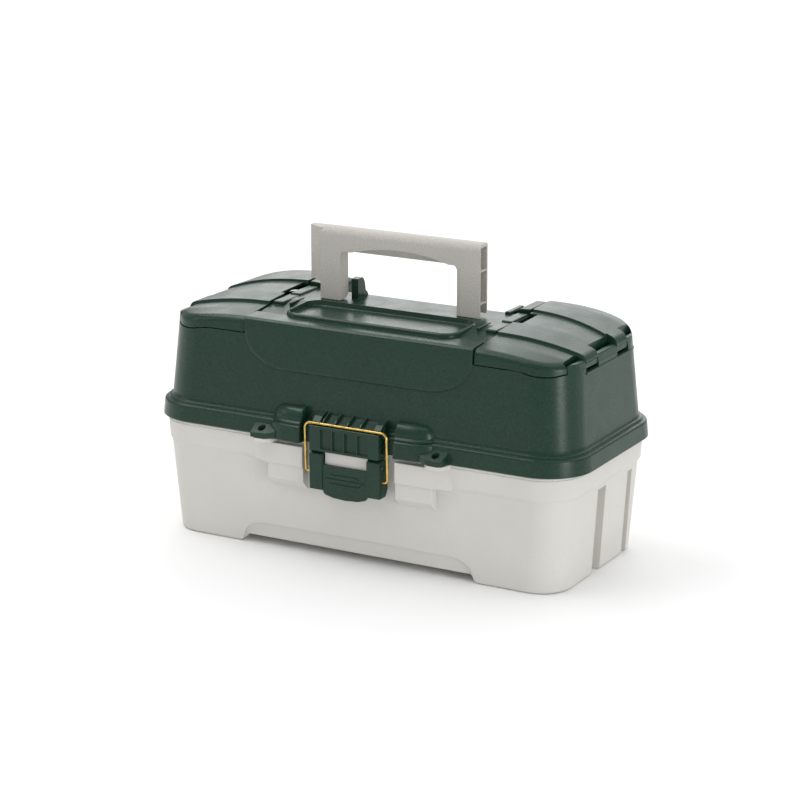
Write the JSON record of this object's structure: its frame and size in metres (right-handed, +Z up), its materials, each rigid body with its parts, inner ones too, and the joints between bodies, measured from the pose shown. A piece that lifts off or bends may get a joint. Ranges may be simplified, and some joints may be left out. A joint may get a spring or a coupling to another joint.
{
  "type": "fishing tackle box",
  "caption": "Moulded tackle box with a hinged lid, flip-top end bins, trays that rise on swinging arms, a wire draw latch and a folding carry handle.",
  "frame": {"origin": "on the ground under the middle of the box, at the bottom centre of its bounding box", "axes": "+X along the length of the box to its right-hand end, -Y towards the latch at the front, +Z up"},
  "size_m": [0.413, 0.205, 0.2706],
  "materials": {
    "tub_plastic": "warm off-white polypropylene with a fine moulded grain",
    "lid_plastic": "dark green polypropylene with a fine leathery grain",
    "handle_plastic": "warm grey polypropylene with a fine sandy grain",
    "tray_plastic": "smooth off-white plastic",
    "bail_wire": "polished brass-plated wire",
    "pin_steel": "bright drawn steel pin",
    "arm_steel": "zinc-plated stamped strip",
    "rivet_steel": "zinc-plated rivet"
  },
  "bodies": {
    "base": {"base_tub": "tub_plastic", "latch_pin": "pin_steel", "lid_hinge_pin_left": "pin_steel", "lid_hinge_pin_right": "pin_steel", "tub_rivet_front_left": "rivet_steel", "tub_rivet_rear_left": "rivet_steel", "tub_rivet_front_right": "rivet_steel", "tub_rivet_rear_right": "rivet_steel"},
    "lid": {"lid_shell": "lid_plastic", "bin_hinge_pin_left": "pin_steel", "bin_hinge_pin_right": "pin_steel", "handle_pin_left": "pin_steel", "handle_pin_right": "pin_steel"},
    "bin_lid_left": {"bin_lid_left": "lid_plastic"},
    "bin_lid_right": {"bin_lid_right": "lid_plastic"},
    "carry_handle": {"carry_handle": "handle_plastic"},
    "latch_lever": {"latch_lever": "lid_plastic"},
    "latch_bail": {"latch_bail": "bail_wire"},
    "front_arms": {"front_arm_left": "arm_steel", "front_arm_right": "arm_steel"},
    "rear_arms": {"rear_arm_left": "arm_steel", "rear_arm_right": "arm_steel"},
    "lower_tray": {"lower_tray": "tray_plastic", "lower_tray_divider_left": "tray_plastic", "lower_tray_divider_middle": "tray_plastic", "lower_tray_divider_right": "tray_plastic", "lower_tray_rivet_front_left": "rivet_steel", "lower_tray_rivet_rear_left": "rivet_steel", "lower_tray_rivet_front_right": "rivet_steel", "lower_tray_rivet_rear_right": "rivet_steel"},
    "middle_tray": {"middle_tray": "tray_plastic", "middle_tray_divider_left": "tray_plastic", "middle_tray_divider_middle": "tray_plastic", "middle_tray_divider_right": "tray_plastic", "middle_tray_rivet_front_left": "rivet_steel", "middle_tray_rivet_rear_left": "rivet_steel", "middle_tray_rivet_front_right": "rivet_steel", "middle_tray_rivet_rear_right": "rivet_steel"},
    "upper_tray": {"upper_tray": "tray_plastic", "upper_tray_divider_left": "tray_plastic", "upper_tray_divider_middle": "tray_plastic", "upper_tray_divider_right": "tray_plastic", "upper_tray_rivet_front_left": "rivet_steel", "upper_tray_rivet_rear_left": "rivet_steel", "upper_tray_rivet_front_right": "rivet_steel", "upper_tray_rivet_rear_right": "rivet_steel"}
  },
  "joints": [
    {"name": "lid_hinge", "type": "hinge", "parent": "base", "child": "lid", "pos_m": [0, 0.0975, 0.104], "axis": [-1, 0, 0], "range_deg": [0, 105]},
    {"name": "front_arm_swing", "type": "hinge", "parent": "base", "child": "front_arms", "pos_m": [0, 0.0305, 0.0527], "axis": [-1, 0, 0], "range_deg": [0, 52.2]},
    {"name": "rear_arm_swing", "type": "hinge", "parent": "base", "child": "rear_arms", "pos_m": [0, 0.053, 0.0527], "axis": [-1, 0, 0], "range_deg": [0, 52.2]},
    {"name": "lower_tray_pivot", "type": "hinge", "parent": "rear_arms", "child": "lower_tray", "pos_m": [0, 0.03252, 0.06704], "axis": [-1, 0, 0], "range_deg": [-52.2, 0]},
    {"name": "middle_tray_pivot", "type": "hinge", "parent": "rear_arms", "child": "middle_tray", "pos_m": [0, -0.0068, 0.09457], "axis": [-1, 0, 0], "range_deg": [-52.2, 0]},
    {"name": "upper_tray_pivot", "type": "hinge", "parent": "rear_arms", "child": "upper_tray", "pos_m": [0, -0.04612, 0.1221], "axis": [-1, 0, 0], "range_deg": [-52.2, 0]},
    {"name": "latch_swing", "type": "hinge", "parent": "base", "child": "latch_lever", "pos_m": [0, -0.0955, 0.092], "axis": [-1, 0, 0], "range_deg": [0, 100]},
    {"name": "bail_swing", "type": "hinge", "parent": "latch_lever", "child": "latch_bail", "pos_m": [0, -0.0973, 0.0804], "axis": [-1, 0, 0], "range_deg": [-140.5, 0]},
    {"name": "bin_lid_left_hinge", "type": "hinge", "parent": "lid", "child": "bin_lid_left", "pos_m": [-0.1892, 0.006, 0.1884], "axis": [0, -1, 0], "range_deg": [0, 105]},
    {"name": "bin_lid_right_hinge", "type": "hinge", "parent": "lid", "child": "bin_lid_right", "pos_m": [0.1892, 0.006, 0.1884], "axis": [0, 1, 0], "range_deg": [0, 105]},
    {"name": "handle_fold", "type": "hinge", "parent": "lid", "child": "carry_handle", "pos_m": [0, 0.0005, 0.2149], "axis": [-1, 0, 0], "range_deg": [0, 90]}
  ],
  "couplings": [
    {"joint": "front_arm_swing", "follows": "lid_hinge", "ratio": 0.49524},
    {"joint": "rear_arm_swing", "follows": "lid_hinge", "ratio": 0.49524},
    {"joint": "lower_tray_pivot", "follows": "lid_hinge", "ratio": -0.49524},
    {"joint": "middle_tray_pivot", "follows": "lid_hinge", "ratio": -0.49524},
    {"joint": "upper_tray_pivot", "follows": "lid_hinge", "ratio": -0.49524},
    {"joint": "bail_swing", "follows": "latch_swing", "ratio": -1.4}
  ]
}
